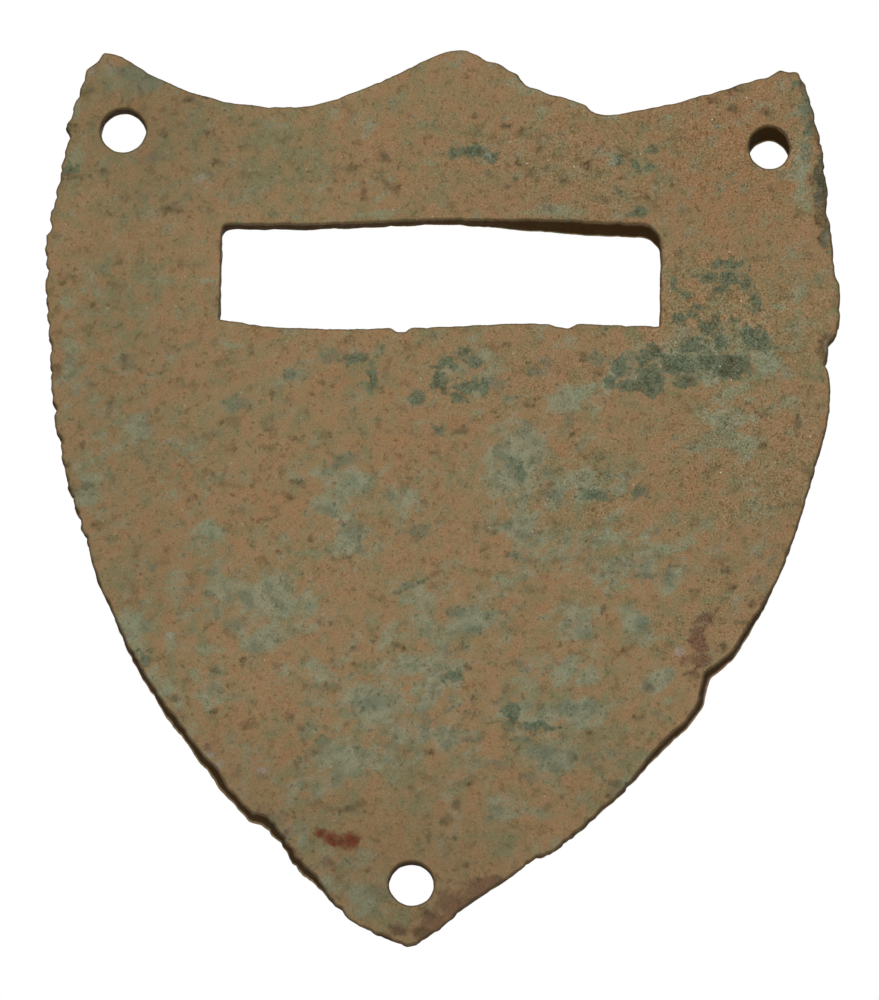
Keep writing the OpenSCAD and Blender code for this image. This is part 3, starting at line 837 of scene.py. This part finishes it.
class Patina(Graph):
    """The plate's corrosion and its painted shade. Each layer of colour is laid over those before it."""

    def __init__(self, name):
        super().__init__(name)
        slope = (0, -math.radians(STREAK_SLOPE), 0)
        drawn_out = {"Vector": self.place, "Rotation": slope, "Scale": STREAK_STRETCH}
        streaks = self.add("ShaderNodeMapping", drawn_out, vector_type="TEXTURE").outputs[0]
        self.broad = self.noise(self.place, 6, 2)
        self.hue = self.noise(self.place, 1.2, 5, 0.6)
        self.bloom = self.noise(streaks, 1.1, 4)
        self.blotch = self.noise(self.place, 0.9, 4, 0.6)
        self.fleck = self.noise(self.place, 0.36, 3, 0.6)
        self.grain = self.noise(self.place, 0.12, 2, 0.7)
        self.speckled = self.field("speckled")
        self.colour = tone("tan")

    def off_middle(self, noise, amount):
        return self.math("MULTIPLY", self.math("SUBTRACT", noise, 0.5), amount)

    def growth(self, name, softness, wider=0.0, broken=1.5):
        """How fully a crisp growth covers a point. Its edge is this soft, moved out by wider, and broken by
        noise of this strength, all in millimetres."""
        shift = self.math("ADD", self.off_middle(self.fleck, broken), self.off_middle(self.grain, 0.35))
        return self.ramp(self.math("ADD", self.field(name), shift), -softness - wider, softness - wider)

    def veil(self, name, noise, low=0.25):
        """How fully a soft area covers a point, broken up by coarse and fine noise."""
        shift = self.math("ADD", self.off_middle(noise, 2.2), self.off_middle(self.fleck, 0.8))
        return self.ramp(self.math("ADD", self.field(name), shift), low, low + 0.6)

    def lay(self, share, strength, tint, blend="MIX"):
        """Lays a colour over the plate, with a share that varies from place to place."""
        self.colour = self.mix(self.math("MULTIPLY", share, strength), self.colour, tint, blend)

    def lay_ground(self):
        """Tan to olive corrosion with paler, darker and warmer blotches."""
        greener = self.math("ADD", self.hue, self.off_middle(self.broad, 0.3))
        greener = self.math("ADD", greener, self.math("MULTIPLY", self.field("olive"), 0.16))
        greener = self.math("ADD", greener, self.math("MULTIPLY", self.field("haze"), 0.1))
        self.lay(self.ramp(greener, 0.38, 0.56), 1, tone("olive tan"))
        self.lay(self.ramp(greener, 0.54, 0.7), 1, tone("olive green"))
        self.lay(self.ramp(self.blotch, 0.54, 0.7), 0.6, tone("pale soil"))
        self.lay(self.ramp(self.blotch, 0.46, 0.32), 0.6, tone("dark soil"))
        self.lay(self.veil("warm", self.blotch), 0.65, tone("warm soil"))

    def lay_growths(self):
        """Soft haze and cuprite, and over them mint, smudges, teal crusts, rust, lilac and dark grains."""
        haze = self.mix(self.ramp(self.blotch, 0.36, 0.62), tone("haze"), tone("pale haze"))
        self.lay(self.veil("haze", self.bloom, 0.05), 0.72, haze)
        self.lay(self.veil("cuprite", self.blotch), 0.7, tone("cuprite"))
        mint = self.mix(self.fleck, tone("mint"), tone("pale mint"))
        self.lay(self.growth("mint", 0.2), 0.65, mint)
        smudge = self.mix(self.fleck, tone("smudge"), tone("pale smudge"))
        self.lay(self.growth("smudge", 0.25, broken=1), 0.55, smudge)
        self.lay(self.growth("teal", 0.3, wider=-0.14), 0.5, tone("teal stain"))
        crust = self.mix(self.ramp(self.fleck, 0.42, 0.56), tone("teal crust"), tone("pale crust"))
        self.lay(self.growth("teal", 0.1, wider=0.04), 0.75, crust)
        rust = self.mix(self.ramp(self.fleck, 0.4, 0.6), tone("rust"), tone("light rust"))
        self.lay(self.growth("rust", 0.22, broken=0.7), 1, rust)
        self.lay(self.growth("lilac", 0.2), 0.55, tone("lilac"))
        self.lay(self.growth("dark", 0.2, broken=0.8), 0.55, tone("dark grain"))

    def lay_grit(self):
        """Fine flecks and grains, painted shade where the light falls off on the front and grime on the
        back, and a few glints.
        """
        self.lay(self.ramp(self.fleck, 0.57, 0.7), 0.55, tone("fleck shade"), "MULTIPLY")
        strength = self.ramp(self.speckled, 0, 1, 0.5, 1.3)
        self.lay(self.ramp(self.grain, 0.5, 0.28), strength, tone("grain shade"), "MULTIPLY")
        self.lay(self.ramp(self.grain, 0.52, 0.74), strength, tone("grain light"), "ADD")
        # Painted shade on the front where the light falls off, and grime on the back
        self.lay(self.field("shade_and_grime"), 0.5, tone("shade and grime"))
        glints = self.ramp(self.cells(1.4), 0.05, 0.03)
        self.lay(glints, self.ramp(self.speckled, 0, 1, 0.3, 0.9), tone("glint"))

    def lay_edges(self):
        """The worn rim, and the cut edge, darkened by its own crust and by painted shade."""
        self.lay(self.ramp(self.field("rim"), 0.2, 0.04), 0.7, tone("worn rim"))
        # The cut edges are darkened partly as their own crust and partly as painted shade of walls turned
        # away from the light.
        self.lay(self.ramp(self.field("wall"), 0.2, 0.9), 1, tone("crusted and shaded cut edge"))

    def relief(self):
        """A normal that is tilted by flecks and grains too fine for the mesh."""
        flecks = self.math("MULTIPLY", self.fleck, 0.6)
        height = self.math("ADD", flecks, self.math("MULTIPLY", self.grain, 0.4))
        bump = self.add("ShaderNodeBump", {"Height": height, "Strength": 0.8, "Distance": 0.08 * MM})
        return bump.outputs["Normal"]


def patinated_alloy():
    """Earthy tan and olive corrosion with teal crusts, pale bloom, dark grains, and a cut edge darkened by
    its own crust and by painted shade.
    """
    patina = Patina("patinated_alloy")
    patina.lay_ground()
    patina.lay_growths()
    patina.lay_grit()
    patina.lay_edges()
    roughness = patina.ramp(patina.fleck, 0.3, 0.7, 0.6, 0.85)
    return patina.finish({
        "Base Color": patina.colour,
        "Roughness": roughness,
        "Specular IOR Level": SPECULAR_LEVEL,
        "Normal": patina.relief(),
    })


def floor_paint():
    """A pale matte floor with a very faint mottle. It looks bright without lighting the plate from below."""
    g = Graph("pale_floor")
    colour = g.mix(g.noise(g.place, 60, 4), tone("floor"), tone("pale floor"))
    seen = g.add("ShaderNodeLightPath").outputs["Is Camera Ray"]
    glow = g.math("MULTIPLY", seen, FLOOR_GLOW)
    return g.finish({
        "Base Color": colour,
        "Roughness": 0.9,
        "Emission Color": colour,
        "Emission Strength": glow,
    })


# The studio

def make_floor():
    bpy.ops.mesh.primitive_plane_add(size=FLOOR_SIZE, location=(0, 0, FLOOR_HEIGHT))
    floor = bpy.context.object
    floor.name = "floor"
    floor.data.materials.append(floor_paint())


def make_world():
    """White where the camera sees it, and a dimmer even light on the object."""
    world = bpy.data.worlds.new("studio")
    world.use_nodes = True
    tree = world.node_tree
    tree.nodes.clear()
    path = tree.nodes.new("ShaderNodeLightPath")
    seen = tree.nodes.new("ShaderNodeBackground")
    seen.inputs["Color"].default_value = (1, 1, 1, 1)
    lit = tree.nodes.new("ShaderNodeBackground")
    lit.inputs["Color"].default_value = (1, 1, 1, 1)
    lit.inputs["Strength"].default_value = WORLD_STRENGTH
    choose = tree.nodes.new("ShaderNodeMixShader")
    output = tree.nodes.new("ShaderNodeOutputWorld")
    tree.links.new(path.outputs["Is Camera Ray"], choose.inputs[0])
    tree.links.new(lit.outputs[0], choose.inputs[1])
    tree.links.new(seen.outputs[0], choose.inputs[2])
    tree.links.new(choose.outputs[0], output.inputs["Surface"])
    bpy.context.scene.world = world


def make_light(name, place, size, power):
    """A soft square light that faces the plate, with its place and size in metres."""
    light = bpy.data.lights.new(name, "AREA")
    light.shape = "SQUARE"
    light.size = size
    light.energy = power
    lamp = bpy.data.objects.new(name, light)
    lamp.location = place
    lamp.rotation_euler = (-Vector(place)).to_track_quat("-Z", "Y").to_euler()
    bpy.context.scene.collection.objects.link(lamp)


def make_camera():
    drop = math.radians(CAMERA_DROP)
    aim = Vector(CAMERA_AIM) * MM
    away = Vector((0, -math.cos(drop), -math.sin(drop)))
    camera = bpy.data.objects.new("camera", bpy.data.cameras.new("camera"))
    camera.data.lens = CAMERA_LENS
    camera.data.clip_start = 0.01
    camera.location = aim + away * CAMERA_DISTANCE * MM
    camera.rotation_euler = (-away).to_track_quat("-Z", "Y").to_euler()
    bpy.context.scene.collection.objects.link(camera)
    bpy.context.scene.camera = camera


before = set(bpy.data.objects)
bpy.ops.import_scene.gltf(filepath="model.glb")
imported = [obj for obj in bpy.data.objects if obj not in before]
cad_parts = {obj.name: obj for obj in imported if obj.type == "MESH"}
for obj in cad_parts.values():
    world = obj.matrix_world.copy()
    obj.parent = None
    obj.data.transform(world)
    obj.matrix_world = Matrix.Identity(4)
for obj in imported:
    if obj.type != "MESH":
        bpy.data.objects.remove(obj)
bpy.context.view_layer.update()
make_camera()
make_world()
make_light("key", (-0.25, -0.55, 0.6), 0.5, KEY_POWER)
make_light("back_fill", (0.3, 0.6, 0.4), 0.6, BACK_POWER)
make_floor()

plate = make_plate("shield_plate")
plate.data.materials.append(patinated_alloy())
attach(plate, "root")
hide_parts("shield_plate")

bpy.context.scene.view_settings.view_transform = "Standard"
